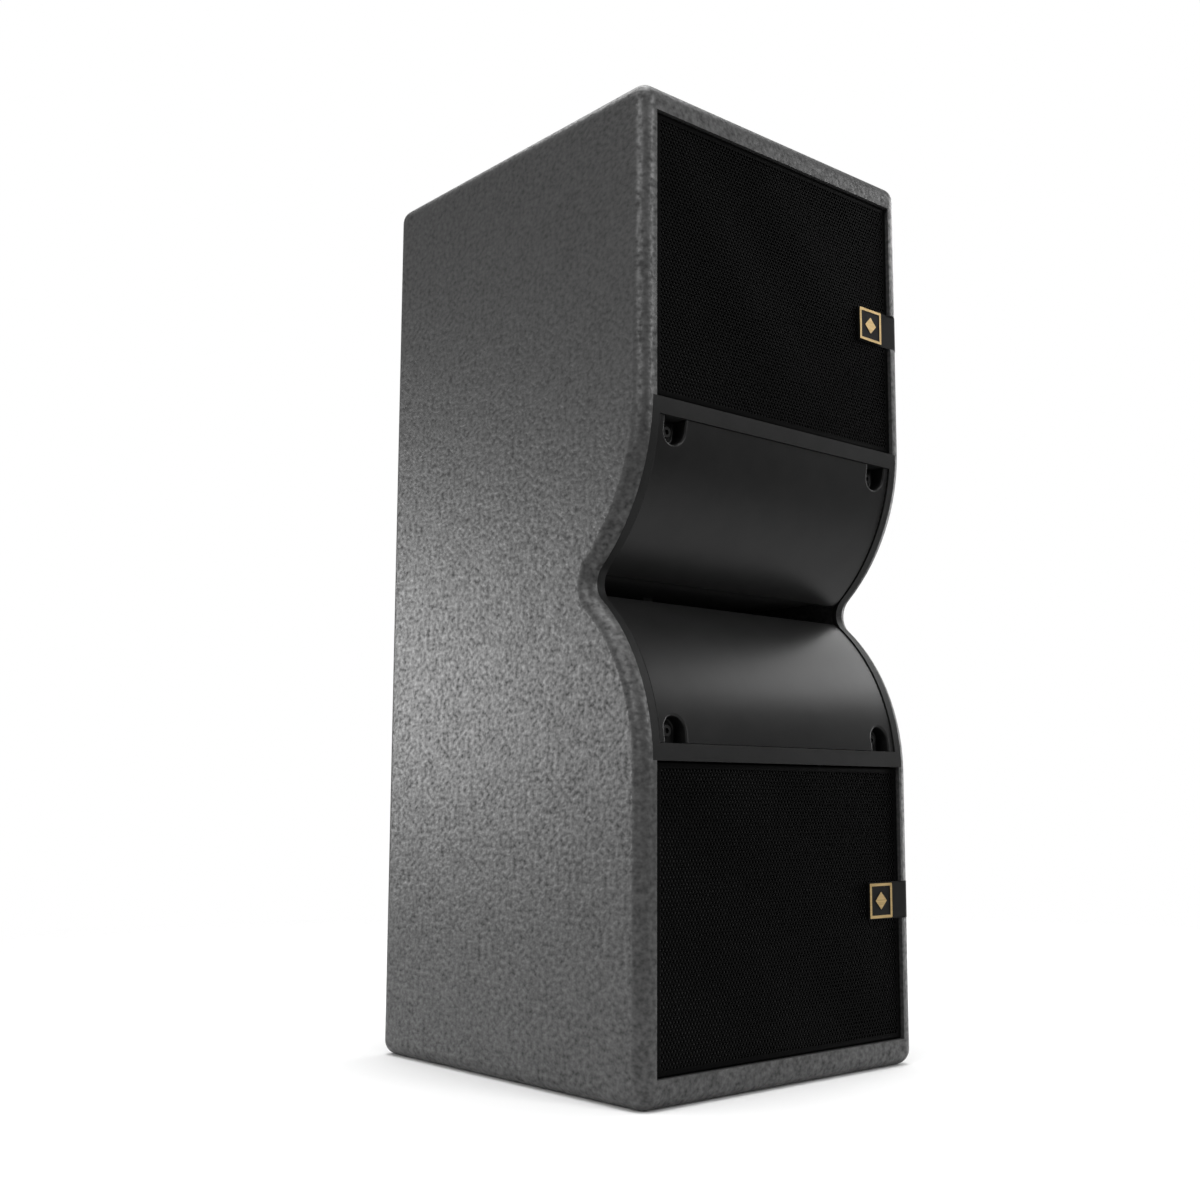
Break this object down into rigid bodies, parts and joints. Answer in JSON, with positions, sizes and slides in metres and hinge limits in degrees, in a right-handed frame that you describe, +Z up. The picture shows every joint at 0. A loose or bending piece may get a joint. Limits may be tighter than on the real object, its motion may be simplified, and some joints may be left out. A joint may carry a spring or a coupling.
{
  "type": "loudspeaker cabinet",
  "caption": "Tall ported loudspeaker cabinet with a pinched waist: two grilled woofers, two curved flares and a full-width slot between them.",
  "frame": {"origin": "centre of the base, on the surface that the cabinet stands on", "axes": "+Z up, -Y out of the front grilles, +X to the side that carries the badge brackets (the right-hand side panel node, which is on the right as the viewer faces the grilles)"},
  "size_m": [0.332, 0.376, 0.834],
  "materials": {
    "textured_paint": "birch plywood under a pebbled dark grey-black sprayed coating",
    "black_plywood": "matt black painted birch plywood",
    "plywood": "bare birch plywood",
    "felt": "needled damping felt",
    "black_moulding": "fine-grained black moulding",
    "satin_moulding": "satin black moulding",
    "black_screws": "black oxide steel",
    "black_metal": "satin black powder coat on steel",
    "black_foam": "open-cell black acoustic foam",
    "connector_plastic": "black glass-filled nylon",
    "cable_sheath": "black flexible sheath",
    "zinc_steel": "zinc plated steel",
    "grille_steel": "perforated steel, matt black powder coat",
    "gold_metal": "satin gold anodised",
    "cast_aluminium": "black powder-coated casting",
    "gasket_rubber": "pressed fibre and rubber",
    "ferrite": "sintered ferrite, matt",
    "surround_cloth": "coated cloth half roll",
    "spider_cloth": "resin-dipped corrugated cloth",
    "cone_paper": "pressed black paper pulp",
    "cap_paper": "coated paper dome",
    "coil_copper": "copper-clad winding on a brown former"
  },
  "bodies": {
    "cabinet": {"badge_screws": "black_screws", "bottom_panel": "textured_paint", "connector_gasket": "gasket_rubber", "connector_plate": "black_metal", "connector_plate_screws": "black_screws", "corner_cleats": "plywood", "damping_mats": "felt", "end_inserts": "zinc_steel", "flare_blocks": "plywood", "flare_screws": "black_screws", "grille_rails": "black_plywood", "input_connector": "connector_plastic", "internal_wiring": "cable_sheath", "left_side_panel": "textured_paint", "link_connector": "connector_plastic", "lower_back_plate": "zinc_steel", "lower_badge": "gold_metal", "lower_badge_bracket": "black_metal", "lower_baffle": "black_plywood", "lower_basket": "cast_aluminium", "lower_driver_bolts": "black_screws", "lower_flange_gasket": "gasket_rubber", "lower_flare": "satin_moulding", "lower_grille": "grille_steel", "lower_grille_foam": "black_foam", "lower_magnet": "ferrite", "lower_port_shelf": "black_plywood", "lower_spider": "spider_cloth", "lower_surround": "surround_cloth", "lower_terminals": "connector_plastic", "lower_top_plate": "zinc_steel", "port_divider": "black_plywood", "rear_inserts": "zinc_steel", "rear_panel": "textured_paint", "right_side_panel": "textured_paint", "top_panel": "textured_paint", "upper_back_plate": "zinc_steel", "upper_badge": "gold_metal", "upper_badge_bracket": "black_metal", "upper_baffle": "black_plywood", "upper_basket": "cast_aluminium", "upper_driver_bolts": "black_screws", "upper_flange_gasket": "gasket_rubber", "upper_flare": "satin_moulding", "upper_grille": "grille_steel", "upper_grille_foam": "black_foam", "upper_magnet": "ferrite", "upper_port_shelf": "black_plywood", "upper_spider": "spider_cloth", "upper_surround": "surround_cloth", "upper_terminals": "connector_plastic", "upper_top_plate": "zinc_steel", "waist_frame": "black_moulding", "window_braces": "plywood"},
    "upper_cone_assembly": {"upper_cone": "cone_paper", "upper_dust_cap": "cap_paper", "upper_voice_coil": "coil_copper"},
    "lower_cone_assembly": {"lower_cone": "cone_paper", "lower_dust_cap": "cap_paper", "lower_voice_coil": "coil_copper"}
  },
  "joints": [
    {"name": "upper_cone_travel", "type": "slide", "parent": "cabinet", "child": "upper_cone_assembly", "axis": [0, -0.9889, -0.1486], "range_m": [-0.008, 0.008], "stiffness_N_per_m": 3500, "deforming": ["upper_surround", "upper_spider"]},
    {"name": "lower_cone_travel", "type": "slide", "parent": "cabinet", "child": "lower_cone_assembly", "axis": [0, -0.9889, 0.1486], "range_m": [-0.008, 0.008], "stiffness_N_per_m": 3500, "deforming": ["lower_surround", "lower_spider"]}
  ]
}
